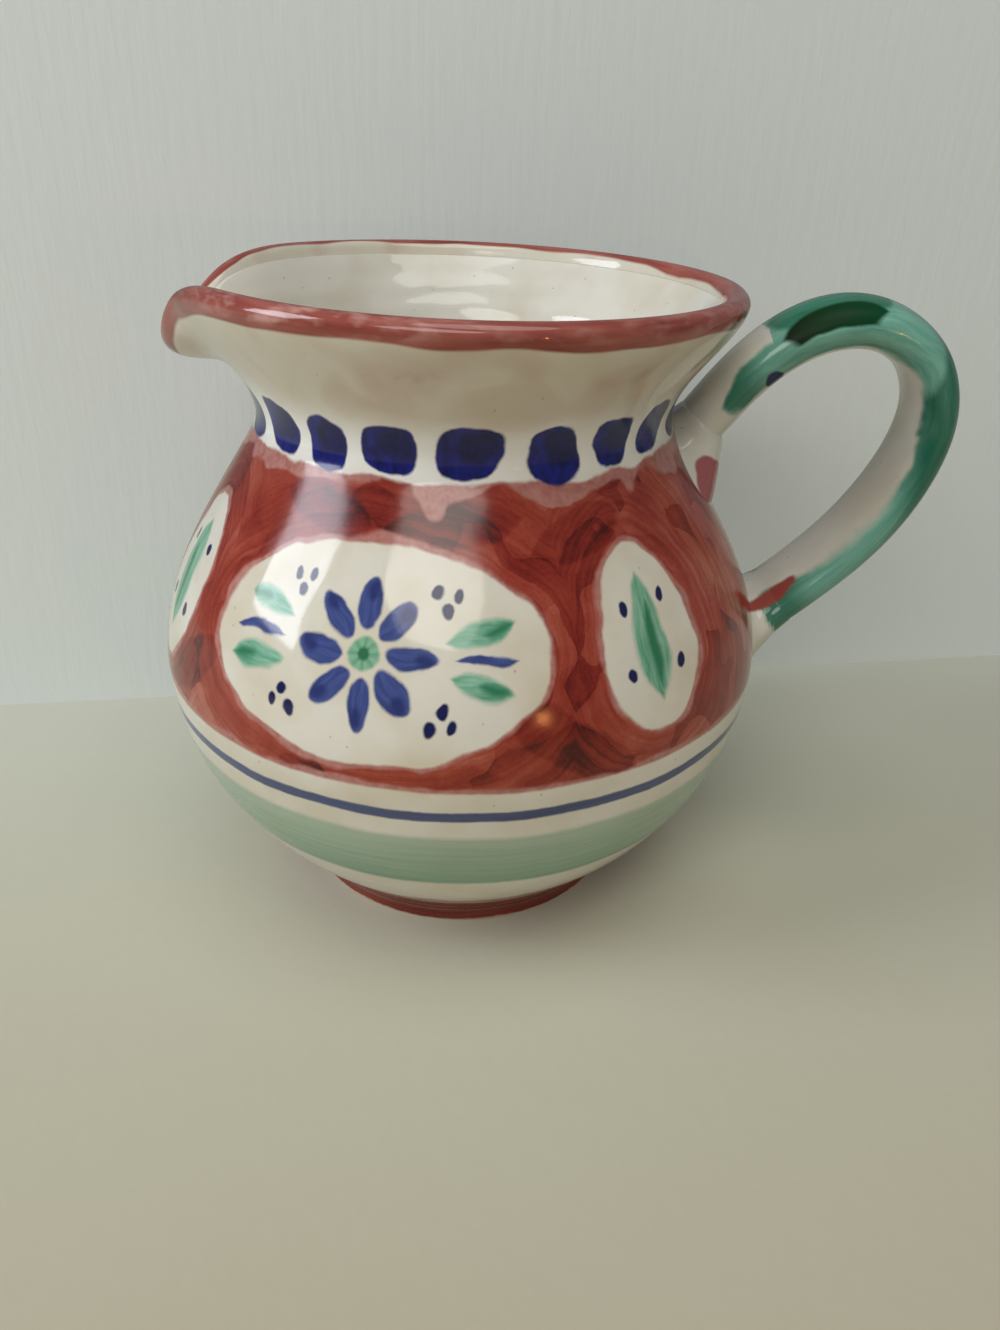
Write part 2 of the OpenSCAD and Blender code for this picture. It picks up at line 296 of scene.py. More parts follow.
# %% The strap's centre line
centre_line = np.array([
    (52.4, 113.8), (66.7, 132.1), (81.2, 141.4), (95.6, 142.2), (106.9, 135.1),
    (111.3, 122.0), (106.9, 105.9), (95.0, 88.0), (74.6, 68.6)])
spans = len(centre_line) - 1

def on_strap(t):
    """Point in mm (x, z) at t spans along the centre line, on a smooth curve through its points."""
    i = min(int(t), spans - 1)
    q, a, b = t - i, centre_line[i], centre_line[i + 1]
    leave = (b - centre_line[max(i - 1, 0)]) / 2
    arrive = (centre_line[min(i + 2, spans)] - a) / 2
    return (a * (1 + q * q * (2 * q - 3)) + b * q * q * (3 - 2 * q)
            + leave * q * (1 - q) ** 2 - arrive * q * q * (1 - q))

def heading(t):
    """Direction of the centre line at t, as an angle up from +X."""
    d = on_strap(min(t + 0.01, spans)) - on_strap(max(t - 0.01, 0))
    return math.atan2(d[1], d[0]) % (2 * math.pi)

def wall_heading(height):
    """Direction of the wall's outward normal at that height."""
    outer = np.array(outside)
    slope = np.diff(np.interp([height - 4, height + 4], outer[:, 1], outer[:, 0]))[0] / 8
    return math.atan2(-slope, 1)

print("the strap leaves at", round(math.degrees(heading(0))), "degrees and lands at",
      round(math.degrees(heading(spans))))

# %% [markdown]
# ## Stations of the strap and of its joints
# Near the wall the section turns from square to the strap to flat on the wall, and sinks a little
# into it, so no gap shows. The clay bunches up on the crown and in the lower bend, so the strap is
# fuller there. A joint is the same sweep made fatter: slip and a wad of clay, smoothed out over the
# wall with a thumb. It spreads most at the wall and thins out to nothing on the strap.

# %% Work out a station
joint_reach = 0.42  # spans from the wall
first_width, more_width = 18, 8  # mm at the upper end, and what it gains on the way
first_thickness, less_thickness = 11.4, 1.4  # mm there, and what it loses
sunk = 2.3  # mm into the wall
full_places, full_span = ((2.3, 1), (6.5, 1.15)), 1.1  # crown and bend: (spans, how full)
walls = [wall_heading(on_strap(0)[1]), wall_heading(on_strap(spans)[1]) + math.pi]

def station(t, spread=0, under=0, edge=0, deeper=0, fade=2):
    """(x, z, heading, width, thickness) at t spans, for the strap or a joint.

    At the wall a joint is fatter by spread mm, which fades out, and lower by the share under of it.
    It stands edge mm proud of the strap at the wall, and starts deeper mm further in."""
    share = t / spans
    top = t < spans / 2
    u = min(1, (t if top else spans - t) / joint_reach)
    way = walls[0 if top else 1]
    turn = way + (heading(t) - way) * u
    wide = spread * (1 - u) ** fade
    side = 1 if top else -1
    ahead = np.array([math.cos(turn), math.sin(turn)])
    below = np.array([ahead[1], -ahead[0]]) * side * under * wide
    full = sum(how * math.exp(-((t - at) / full_span) ** 2) for at, how in full_places)
    outward = np.array([-math.sin(heading(t)), math.cos(heading(t))])
    point = on_strap(t) - ahead * side * (sunk * (1 - u) + deeper) + below + outward * 0.5 * full
    fatter = 2 * (edge * (1 - 1.2 * u) + wide)
    thick = first_thickness - less_thickness * share + 1.2 * full
    return (*point, turn, first_width + more_width * share + fatter,
            thick / math.cos(turn - heading(t)) + fatter)

# %% Lay out the stations
def joint_stations(end, away, fade, **shape):
    """Stations of a joint: one deeper in the wall, and eight from the wall to where it is thin."""
    return [station(end, deeper=0.8, **shape)] + [
        station(end + away * k / 7, fade=fade, **shape) for k in range(8)]

near_wall = [0, 0.14, 0.28, joint_reach]
free = [joint_reach + (spans - 2 * joint_reach) * k / 22 for k in range(1, 22)]
strap_stations = [station(t) for t in near_wall + free + [spans - t for t in near_wall[::-1]]]
upper_stations = joint_stations(0, joint_reach, 1.05, spread=7, under=0.7, edge=0.5)
lower_stations = joint_stations(spans, -joint_reach, 2, spread=3.6, under=0.2, edge=0.5)
print("strap stations:", len(strap_stations))

# %% Sweep a section through stations
def sweep(name, stations):
    """Extrudes a soft-cornered section through stations, turning and sizing it at each."""
    x, z, turn, width, thickness = stations[0]
    here = Vector((x * MM, 0, z * MM))
    piece = begin(name, bpy.ops.mesh.primitive_plane_add, size=1, location=here)
    bpy.ops.mesh.bevel(affect="VERTICES", offset=0.42, segments=3)
    bpy.ops.transform.resize(value=(thickness * MM, width * MM, 1), center_override=here)
    bpy.ops.transform.rotate(value=turn - math.pi / 2, orient_axis="Y", center_override=here)
    for before, after in zip(stations, stations[1:]):
        here = Vector((after[0] * MM, 0, after[1] * MM))
        step = here - Vector((before[0] * MM, 0, before[1] * MM))
        wider, thicker = after[3] / before[3], after[4] / before[4]
        bpy.ops.mesh.extrude_region_move(TRANSFORM_OT_translate={"value": step})
        bpy.ops.transform.rotate(value=after[2] - before[2], orient_axis="Y", center_override=here)
        bpy.ops.transform.resize(value=(thicker, wider, thicker), center_override=here)
    close()
    return piece

strap = sweep("strap_handle", strap_stations)
upper_joint = sweep("upper_thumbed_joint", upper_stations)
lower_joint = sweep("lower_thumbed_joint", lower_stations)

# %% Press the joints uneven and smooth the sweeps
for piece in (upper_joint, lower_joint):
    bpy.context.view_layer.objects.active = piece
    bpy.ops.object.mode_set(mode="EDIT")
    bpy.ops.mesh.select_all(action="SELECT")
    bpy.ops.transform.vertex_random(offset=0.12 * MM, normal=1, seed=4)
    bpy.ops.object.mode_set(mode="OBJECT")
for piece in (strap, upper_joint, lower_joint):
    smooth(piece, 2)

# %% [markdown]
# ## Coordinates for painting the strap
# The green runs along the strap and round its outer side. So each point stores, as the attribute
# strap_place, how many spans along the strap it is, how many mm out from the centre line, towards
# the outside of the loop, and how many mm across.

# %% Measure the strap
fine = np.linspace(0, spans, 801)
fine_line = np.array([on_strap(t) for t in fine])
fine_way = np.gradient(fine_line, axis=0)
fine_way /= np.linalg.norm(fine_way, axis=1)[:, None]
coarser = 4
for piece in (strap, upper_joint, lower_joint):
    co = points(piece)
    off = co[:, None, [0, 2]] - fine_line[None, ::coarser]
    closest = np.linalg.norm(off, axis=2).argmin(axis=1) * coarser
    gap = co[:, [0, 2]] - fine_line[closest]
    outwards = gap[:, 1] * fine_way[closest, 0] - gap[:, 0] * fine_way[closest, 1]
    attribute = piece.data.attributes.new("strap_place", "FLOAT_VECTOR", "POINT")
    places = np.column_stack([fine[closest], outwards, co[:, 1]])
    attribute.data.foreach_set("vector", places.astype(np.float32).ravel())
    print(piece.name, "reaches", outwards.min().round(1), "to", outwards.max().round(1), "mm out")

# %% [markdown]
# ## Who stands for what
# Each new piece rides on the jug's one body and stands for its CAD node, which then isn't shown.

# %% Tie the pieces to the frame
for piece, node, slot in (
        (body, "body", "painted_glaze"), (lining, "glaze_lining", "cream_glaze"),
        (foot, "foot_ring", "dark_red_glaze"), (strap, "handle", "green_glaze"),
        (upper_joint, "upper_joint", "white_glaze"), (lower_joint, "lower_joint", "white_glaze")):
    piece.vertex_groups.clear()
    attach(piece, "root")
    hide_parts(node)
    print(node, "CAD", [[round(c / MM, 1) for c in corner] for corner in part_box(node)],
          "piece", points(piece).min(0).round(1), points(piece).max(0).round(1))

# %% [markdown]
# # Glazes and paint
# The clay is covered with a white tin glaze, and the colours are brushed on the raw glaze before the
# second firing. They melt into it, so they have soft edges, show every stroke of the brush, and lie
# under the same gloss. Every pattern is worked out from places in millimetres.

# %% Colours and nodes
def linear(hex_colour):
    """An sRGB hex colour as linear red, green, blue and alpha."""
    parts = [int(hex_colour[i:i + 2], 16) / 255 for i in (1, 3, 5)]
    return [c / 12.92 if c <= 0.04045 else ((c + 0.055) / 1.055) ** 2.4 for c in parts] + [1]

def add(kind, *inputs, out=None, **named):
    """Adds a node to the open finish, and gives the output named, or else the first in use.

    An operation stands after the kind, and one that stands alone is the Math node's. Inputs come in
    the node's order, or by name with a capital. Small letters name the node's settings."""
    kind, *operation = ("Math " + kind if kind.isupper() else kind).split()
    node = tree.nodes.new("ShaderNode" + kind)
    if operation:
        node.operation = operation[0]
    for key in [key for key in named if key[0].islower()]:
        setattr(node, key, named.pop(key))
    sockets = {socket.identifier.replace(" ", "_"): socket for socket in node.inputs}
    values = [*zip(node.inputs, inputs), *((sockets[key], named[key]) for key in named)]
    for socket, value in values:
        if isinstance(value, bpy.types.NodeSocket):
            tree.links.new(value, socket)
        else:
            socket.default_value = linear(value) if isinstance(value, str) else value
    return node.outputs[out] if out else next((o for o in node.outputs if o.enabled), node)

def open_finish(name):
    """Starts a material and makes it the one that add() works on."""
    global tree
    finish = bpy.data.materials.new(name)
    finish.use_nodes = True
    tree = finish.node_tree
    tree.nodes.clear()
    return finish

def dress(finish, *pieces):
    """Gives each piece that finish all over."""
    for piece in pieces:
        piece.data.materials.clear()
        piece.data.materials.append(finish)

# %% [markdown]
# ## A hand that isn't quite steady
# A line drawn by hand wanders slowly, and the hairs of the brush leave a fine ragged edge. Both come
# from noise that is added to the place before any shape is measured, so every edge wanders alike.

# %% Places as the hand draws them
def in_mm():
    """The place on the jug in mm."""
    return add("VectorMath SCALE", add("TexCoord", out="Object"), Scale=1000)

def hand_drawn(slow, fine):
    """The place on the jug in mm, pushed about by slow mm over 14 mm and by fine mm over 1.8 mm."""
    place = in_mm()
    for size, reach in ((14, slow), (1.8, fine)):
        noise = add("TexNoise", Vector=place, Scale=1 / size, Detail=2, out="Color")
        centred = add("VectorMath SUBTRACT", noise, (0.5,) * 3)
        place = add("VectorMath MULTIPLY_ADD", centred, (4 * reach,) * 3, place)
    return place

def round_and_up(place):
    """Degrees round the jug, 0 at the handle and 180 at the spout, and the height in mm."""
    parts = add("SeparateXYZ", place).node.outputs
    angle = add("ARCTAN2", parts["Y"], parts["X"])
    return add("DEGREES", angle), parts["Z"]

def from_axis(place):
    """How far the place is from the wheel's axis, in mm."""
    return add("VectorMath LENGTH", add("VectorMath MULTIPLY", place, (1, 1, 0)))

# %% [markdown]
# ## Shapes a brush makes
# Each shape gives how far a place is outside its outline, in millimetres, negative inside. A soft
# step across the outline then makes the mask of the paint.

# %% Marks and masks
def covered(off, soft):
    """How much paint covers a place that is off mm outside the outline, whose edge is soft."""
    return add("Clamp", add("MapRange", off, soft, -soft, interpolation_type="SMOOTHSTEP"))

def off_band(value, low, high):
    """How far outside a band between two values."""
    distance = add("ABSOLUTE", add("SUBTRACT", value, (low + high) / 2))
    return add("SUBTRACT", distance, (high - low) / 2)

def off_oval(flat, half_width, half_height):
    """How far outside an oval round the origin of the flat place."""
    size = (half_width, half_height, 1)
    once = add("VectorMath DIVIDE", flat, size)
    twice = add("VectorMath DIVIDE", once, size)
    near = add("VectorMath LENGTH", once)
    steep = add("VectorMath LENGTH", twice)
    grown = add("MULTIPLY", add("SUBTRACT", near, 1), near)
    return add("DIVIDE", grown, add("MAXIMUM", steep, 0.001))

def off_dab(flat, centre, half_length, half_width, tilt=0):
    """How far outside one press of a round brush, which is narrower at both ends."""
    moved = add("VectorMath SUBTRACT", flat, (*centre, 0))
    turned = add("VectorRotate", Vector=moved, Angle=-math.radians(tilt), rotation_type="Z_AXIS")
    parts = add("SeparateXYZ", turned).node.outputs
    along = add("DIVIDE", parts["X"], half_length)
    taper = add("POWER", add("ABSOLUTE", along), 3)
    across = add("ABSOLUTE", parts["Y"])
    return add("SUBTRACT", add("MULTIPLY_ADD", taper, half_width, across), half_width)

def nearest(*offs):
    """How far outside the nearest of several shapes."""
    least = offs[0]
    for off in offs[1:]:
        least = add("MINIMUM", least, off)
    return least

# %% [markdown]
# ## Laying on paint
# The coat is kept as three values that change with each layer: its colour so far, its roughness and
# its shine. Iron red leaves the melted glaze a little duller than plain white or cobalt, and copper
# green goes matt where it is thickest.

# %% A coat of paint
coat = {}

def between(mask, colours):
    """The first colour where the mask is 0, going over to the second where it is 1."""
    return add("Mix", mask, A_Color=colours[0], B_Color=colours[1], data_type="RGBA")

def lay(mask, colour, load=None, strength=1, roughness=0.09, shine=None):
    """Brushes a colour on over what is there, with the roughness and shine that it fires to.

    With a load, from 0 to 1, the colour is a pair that changes with it."""
    if strength != 1:
        mask = add("MULTIPLY", mask, strength)
    if load:
        colour = between(load, colour)
    coat["colour"] = between(mask, (coat["colour"], colour))
    coat["roughness"] = add("Mix", mask, A_Float=coat["roughness"], B_Float=roughness)
    if shine is not None:
        coat["shine"] = add("Mix", mask, A_Float=coat["shine"], B_Float=shine)

def streaks(vector, stretch, low=0, high=1, detail=4):
    """Brush streaks: noise stretched by three factors (per mm), spread from low to high."""
    stretched = add("VectorMath MULTIPLY", vector, stretch)
    noise = add("TexNoise", Vector=stretched, Scale=1, Detail=detail, Roughness=0.6)
    return add("MapRange", noise, 0.3, 0.7, low, high)

# %% [markdown]
# ## The white tin glaze
# Tin glaze is a white, opaque glass. It runs a little before it sets, so it has warmer clouds where
# it is thin, tiny pinholes, and an uneven surface that bends highlights. Glass has an IOR near 1.5,
# and a fired gloss has a roughness under 0.1.

# %% Start and end a glazed finish
full_shine = 0.5

def tin_glaze(white, warm):
    """Starts the coat: white glaze with warmer clouds, and pinholes 5 mm apart."""
    clouds = add("TexNoise", Vector=in_mm(), Scale=1 / 18, Detail=3)
    coat["colour"] = between(add("MapRange", clouds, 0.42, 0.72), (white, warm))
    smears = add("TexNoise", Vector=in_mm(), Scale=1 / 6, Detail=3)
    coat["roughness"] = add("MapRange", smears, 0.35, 0.7, 0.05, 0.11)
    pores = add("TexVoronoi", Vector=in_mm(), Scale=1 / 5)
    pinhole = covered(add("SUBTRACT", pores, 0.05), 0.03)
    coat["shine"] = full_shine
    lay(pinhole, "#8A7A66", strength=0.55, roughness=0.4)

def glaze_over(relief=None):
    """Ends the finish: a clear gloss, wavy over 16 mm and 2.4 mm, with any relief in mm under it."""
    wavy = add("TexNoise", Vector=in_mm(), Scale=1 / 16, Detail=1)
    skin = add("TexNoise", Vector=in_mm(), Scale=1 / 2.4, Detail=2)
    height = add("MULTIPLY_ADD", wavy, 0.35, add("MULTIPLY", skin, 0.012))
    if relief:
        height = add("ADD", height, relief)
    uneven = add("Bump", Height=height, Distance=MM, Strength=1)
    add("OutputMaterial", add(
        "BsdfPrincipled", Base_Color=coat["colour"], Roughness=coat["roughness"],
        Specular_IOR_Level=coat["shine"], IOR=1.5, Normal=uneven))

# %% [markdown]
# ## The belly's painting
# The painter turned the jug on a banding wheel for the lines and the green band, dabbed a row of
# dots round the neck, and filled the ground between white ovals with a loaded flat brush. The ovals
# hold a daisy and simple dabs: plain, common ornament of this kind of ware.

# %% Where the ornament sits
daisy_round, almond_round = 107, 55  # degrees from the handle to the middle of each oval
oval_down = 73.5  # mm down the wall from the rim
daisy_oval, almond_oval = (38, 22.5), (12.5, 20)  # half width and half height in mm
painted_radius = 68.3
mm_per_degree = math.pi / 180 * painted_radius
neck_line, ground_low = 119.2, 63.3  # mm up, where the red ground ends
print("one degree round the belly is", round(mm_per_degree, 2), "mm")

# %% Open the painted finish
painted_glaze = open_finish("tin_glazed_earthenware_with_brushed_colours")
steady = hand_drawn(0.3, 0.06)
loose = hand_drawn(1.3, 0.13)
wheel_round, wheel_up = round_and_up(steady)
brush_round, brush_up = round_and_up(loose)
true_up = add("SeparateXYZ", in_mm(), out="Z")
down_the_wall = add("Attribute", out="Fac", attribute_name="from_rim")
brush_down = add("ADD", down_the_wall, add("SUBTRACT", true_up, brush_up))
tin_glaze("#DFDACD", "#D3C9B2")

# %% [markdown]
# ## The neck
# Between the dots and the rim the glaze is a little more buff than on the belly, with faint rose
# smears that are painted reflections. Round the row of dots the glaze is painted whiter: a painted
# highlight where the hollow of the neck would fall into shade.

# %% Buff neck
neck = covered(off_band(brush_up, 134, 170), 5)
lay(neck, "#D2C8B2", strength=0.5, roughness=0.08)
# Painted reflections: faint rose clouds on the neck stand in for the room's reflections in the gloss.
painted_reflection_place = add("VectorMath MULTIPLY", loose, (1 / 15, 1 / 15, 1 / 22))
smears = add("TexNoise", Vector=painted_reflection_place, Scale=1, Detail=1)
smears = add("MapRange", smears, 0.54, 0.66, 0, 0.32)
lay(neck, "#BC978C", strength=smears, roughness=0.08)
# Painted highlight: the glaze round the row of dots is made whiter, where the hollow neck would be in shade.
lay(covered(off_band(brush_up, 119, 130), 4), "#F0EEE8", roughness=0.08)

# %% [markdown]
# ## The ovals left white
# Ornament is placed in a flat frame of its own, in mm to the side of the oval's middle and up from
# it. Folding the angle with an absolute value gives the same ornament on both sides of the jug.

# %% Frames of the ovals
turned = add("ABSOLUTE", brush_round)
from_daisy = add("SUBTRACT", turned, daisy_round)
up_way = add("SUBTRACT", oval_down, brush_down)
daisy_flat = add("CombineXYZ", add("MULTIPLY", from_daisy, mm_per_degree), up_way)
from_almond = add("SUBTRACT", add("ABSOLUTE", from_daisy), daisy_round - almond_round)
almond_flat = add("CombineXYZ", add("MULTIPLY", from_almond, mm_per_degree), up_way)
off_reserve = nearest(off_oval(daisy_flat, *daisy_oval), off_oval(almond_flat, *almond_oval))

# %% [markdown]
# ## The red ground
# A thin wash of iron red marks out the ground and stays as a rose margin round the ovals. Over it
# go loaded strokes, deep where they overlap. Voronoi cells, stretched along the ovals' outlines,
# stand for strokes about 9 mm wide and 25 mm long, and noise stretched the same way for the streaks
# of the hairs, about a millimetre wide. Seven strokes are placed one by one.

# %% The rose wash
off_top = add("SUBTRACT", brush_up, neck_line)
off_bottom = add("SUBTRACT", ground_low, wheel_up)
off_ground = add("MAXIMUM", add("MULTIPLY", off_reserve, -1), off_bottom)
off_wash = add("MAXIMUM", off_ground, off_top)
wash_load = streaks(loose, (0.5,) * 3)
lay(covered(off_wash, 0.45), ("#A4645C", "#BC847A"), wash_load, roughness=0.12)

# %% The strokes over the wash
hair_frame = add("CombineXYZ", off_reserve, brush_round, brush_up)
stroke_place = add("VectorMath MULTIPLY", hair_frame, (1 / 9, 1 / 24, 1 / 30))
bent = add("TexNoise", Vector=loose, Scale=1 / 16, Detail=1, out="Color")
stroke_place = add("VectorMath MULTIPLY_ADD", bent, (2.4, 1.4, 1.4), stroke_place)
stroke_tone = add("SeparateXYZ", add("TexVoronoi", Vector=stroke_place, Scale=1, out="Color"))
stroke_edge = add("TexVoronoi", Vector=stroke_place, Scale=1, feature="DISTANCE_TO_EDGE")
overlap = covered(add("SUBTRACT", stroke_edge, 0.09), 0.09)
load = add("MULTIPLY_ADD", stroke_tone, 0.55, 0.16)
ground_flat = add("CombineXYZ", add("MULTIPLY", turned, mm_per_degree), brush_down)
dark_strokes = nearest(*(
    off_dab(ground_flat, (degrees * mm_per_degree, down), length, wide, tilt)
    for degrees, down, length, wide, tilt in (
        (92, 47, 17, 4.6, 4), (121, 46, 14, 4.2, -9), (66, 50, 13, 5.2, 16),
        (72, 92, 17, 5.2, -38), (100, 97.5, 19, 3.0, 2), (146, 90, 15, 4.6, 40),
        (178, 60, 14, 6, 90))))
stroke_rims = add("SUBTRACT", add("ABSOLUTE", dark_strokes), 0.2)
for part, share in ((overlap, 0.07), (covered(dark_strokes, 0.8), 0.24),
                    (covered(stroke_rims, 0.5), 0.06),
                    (streaks(hair_frame, (0.7, 0.03, 0.035), -0.17, 0.17, 2.5), 1),
                    (streaks(loose, (1 / 14,) * 3, -0.2, 0.2), 1),
                    (streaks(loose, (1.6,) * 3, -0.06, 0.06), 1)):
    load = add("MULTIPLY_ADD", part, share, load)

# %% Iron red, from thin to thick
red = add("ValToRGB", load, out="Color")
stops = red.node.color_ramp.elements
stops[0].color, stops[1].color = linear("#AE6655"), linear("#480A06")
for position, colour in ((0.22, "#A44A38"), (0.46, "#943423"), (0.75, "#7A1D12")):
    stops.new(position).color = linear(colour)
drift = add("SUBTRACT", add("TexNoise", Vector=loose, Scale=1 / 13, Detail=1.5), 0.5)
off_brushed = add("SUBTRACT", add("MULTIPLY_ADD", drift, 15, brush_up), neck_line - 2.8)
off_red = add("ADD", add("MULTIPLY_ADD", drift, 5, off_ground), 1.3)
off_red = add("MAXIMUM", add("SMOOTH_MAX", off_red, off_brushed, 1.5), off_top)
lay(covered(off_red, 0.55), red, roughness=0.15)
beside_joint = off_dab(ground_flat, (15.5 * mm_per_degree, 49), 7.5, 2.4, 124)
lay(covered(beside_joint, 0.6), "#560F0A", strength=0.85, roughness=0.15)

# %% [markdown]
# ## Bands on the wheel
# The brush stands still and the jug turns, so these edges are nearly straight, and the streaks run
# level round the jug.

# %% Green band, blue line and red foot
green_band, crisp_edge, blue_line = (32.6, 50.8), (32.4, 34.2), (55.8, 58.4)
red_top, red_inner_edge = 12.6, 42
level_streaks = streaks(steady, (0.03, 0.03, 0.9))
fades = add("MapRange", wheel_up, 34, 53, 1, 0.55)
lay(covered(off_band(wheel_up, *green_band), 1.0), ("#6A977C", "#88AD92"), level_streaks,
    strength=fades, roughness=0.1)
lay(covered(off_band(wheel_up, *crisp_edge), 0.8), "#5F8E72", strength=0.5, roughness=0.1)
lay(covered(off_band(wheel_up, *blue_line), 0.35), ("#3C4468", "#525D82"), level_streaks,
    roughness=0.08)
off_foot = add("MAXIMUM", add("SUBTRACT", wheel_up, red_top),
               add("SUBTRACT", red_inner_edge, from_axis(steady)))
lay(covered(off_foot, 0.5), ("#6E1C14", "#8C3A2C"), level_streaks, roughness=0.14)

# %% [markdown]
# ## Twenty dots round the neck
# Each dot is one press of a flat brush full of cobalt, about 12 mm square with round corners. The
# angle is wrapped into 18-degree steps, and the step's number gives each dot its own size and place.

# %% Where each dot sits
dot_step, first_dot, dot_height = 18, 142.6, 124.2
dot_turn = add("ADD", brush_round, first_dot)
uneven = add("COSINE", add("MULTIPLY", dot_turn, math.radians(5)))
sway = add("MULTIPLY_ADD", uneven, -1.7, dot_turn)
dot_side = add("WRAP", sway, dot_step / 2, -dot_step / 2)
dot_number = add("DIVIDE", add("ADD", sway, dot_step / 2), dot_step)
chance = add("TexWhiteNoise", W=add("FLOOR", dot_number), out="Color", noise_dimensions="1D")
chance = add("SeparateXYZ", chance).node.outputs
dot_up = add("SUBTRACT", add("MULTIPLY_ADD", chance["X"], 1.6, dot_height), brush_up)
dot_wide = add("MULTIPLY", dot_side, math.radians(49.5))
dot_size = add("MULTIPLY_ADD", chance["Y"], 0.12, 0.93)
dot_flat = add("CombineXYZ", add("DIVIDE", dot_wide, dot_size), dot_up)

# %% Dab the dots
squared = add("VectorMath MULTIPLY", dot_flat, dot_flat)
squarish = add("VectorMath DIVIDE", squared, (5.7 ** 2, 5.4 ** 2, 1))
square_reach = add("POWER", add("VectorMath LENGTH", squarish), 0.5)
off_square = add("MULTIPLY", add("SUBTRACT", square_reach, 1), 5.5)
off_dot = add("Mix", 0.5, A_Float=off_square, B_Float=off_oval(dot_flat, 5.9, 5.7))
cobalt_load = streaks(loose, (0.45, 0.45, 0.22))
lay(covered(off_dot, 0.35), ("#070B46", "#181F80"), cobalt_load, roughness=0.12)
second_press = off_oval(add("VectorMath SUBTRACT", dot_flat, (1.6, -1.2, 0)), 3.6, 3.4)
lay(covered(second_press, 0.8), "#040635", strength=0.6, roughness=0.12)

# %% [markdown]
# ## A daisy in each large oval
# Eight petals are one brush mark each, with the paint pooled at its end: the angle about the middle
# is wrapped into eighths, so one mark is drawn for all. Four green dabs, two blue strokes and groups
# of three dots fill the sides.

# %% Paint the daisy
petals = 8
petal_blue, dab_green, spine_green = ("#303C76", "#4C5B96"), ("#4E9676", "#93C2A8"), "#2E7A58"
parts = add("SeparateXYZ", daisy_flat).node.outputs
petal_angle = add("ARCTAN2", parts["Y"], parts["X"])
petal_turn = add("WRAP", petal_angle, math.pi / petals, -math.pi / petals)
from_middle = add("VectorMath LENGTH", daisy_flat)
petal_flat = add("VectorRotate", Vector=add("CombineXYZ", from_middle), Angle=petal_turn,
                 rotation_type="Z_AXIS")
petal_place = add("VectorMath SUBTRACT", petal_flat, (9.9, 0, 0))
petal = off_oval(petal_place, 5.2, 2.7)
petal_load = streaks(petal_flat, (0.1, 0.7, 1), detail=2)
lay(covered(petal, 0.45), petal_blue, petal_load)
pooled = off_oval(add("VectorMath SUBTRACT", petal_place, (2.6, 0.3, 0)), 1.9, 1.5)
lay(covered(pooled, 0.9), "#1E2660", strength=0.75)
lay(covered(off_oval(daisy_flat, 3.6, 3.4), 0.5), ("#5E9A78", "#8DB99A"), petal_load)
lay(covered(off_oval(daisy_flat, 1.5, 1.4), 0.5), "#2F6E4C")

# %% Fill the oval's sides
quarter = add("VectorMath ABSOLUTE", daisy_flat)
green_dab = off_dab(quarter, (24, 5.6), 7, 2.5, 12)
dab_load = streaks(daisy_flat, (0.12, 0.6, 1), detail=2)
lay(covered(green_dab, 0.8), dab_green, dab_load)
lay(covered(off_dab(quarter, (27, 6.2), 3.2, 1.0, 14), 1.0), spine_green)
lay(covered(off_dab(quarter, (25, 0), 7, 1.1), 0.35), petal_blue, petal_load)
navy = "#14184E"
navy_dots = nearest(*(off_oval(add("VectorMath SUBTRACT", quarter, (u, v, 0)), 1.0, 1.5)
                      for u, v in ((14.4, 13.6), (18.2, 13.2), (16.4, 10.2))))
lay(covered(navy_dots, 0.3), navy)

# %% [markdown]
# ## An almond in each small oval
# One upright green mark, with a darker spine, and a navy dot on each side of both its ends.

# %% Paint the almonds
almond_load = streaks(almond_flat, (0.6, 0.1, 1), detail=2)
lay(covered(off_dab(almond_flat, (0, 0), 13.5, 4.2, 90), 0.9), dab_green, almond_load)
lay(covered(off_dab(almond_flat, (0.9, -2), 9, 1.3, 88), 0.9), spine_green)
side_dot = add("VectorMath SUBTRACT", add("VectorMath ABSOLUTE", almond_flat), (6.4, 7.2, 0))
lay(covered(off_oval(side_dot, 1.1, 1.6), 0.3), navy)

# %% [markdown]
# ## The rim
# The lip was wiped with a brush of rose red while the jug turned. The band follows the lip down into
# the spout, because it is measured along the wall. It is thin and cloudy on the crest, where the
# glaze runs off, and paler most of all about 122 degrees round from the handle, on both sides.

# %% Brush the rim
red_outside, red_inside = 6.5, -3.0
away_from_handle = add("ABSOLUTE", wheel_round)
towards_spout = add("MapRange", away_from_handle, 143, 158, 0, 2.4, interpolation_type="SMOOTHSTEP")
edge_sway = streaks(in_mm(), (1 / 16,) * 3, -0.6, 0.6, 0.5)
outer_limit = add("ADD", add("ADD", towards_spout, red_outside), edge_sway)
off_outside = add("SUBTRACT", down_the_wall, outer_limit)
across = add("SeparateXYZ", in_mm()).node.outputs
inner_limit = add("MULTIPLY_ADD", across["X"], -1 / 60, red_inside)
inner_limit = add("MULTIPLY_ADD", across["Y"], 1 / 60, inner_limit)
off_inside = add("SUBTRACT", add("ADD", inner_limit, edge_sway), down_the_wall)
rim_band = covered(add("MAXIMUM", off_outside, off_inside), 0.4)
rim_frame = add("CombineXYZ", wheel_round, down_the_wall)
rim_load = streaks(rim_frame, (0.05, 0.3, 1), detail=2)
lay(rim_band, ("#82352C", "#A65C51"), rim_load)

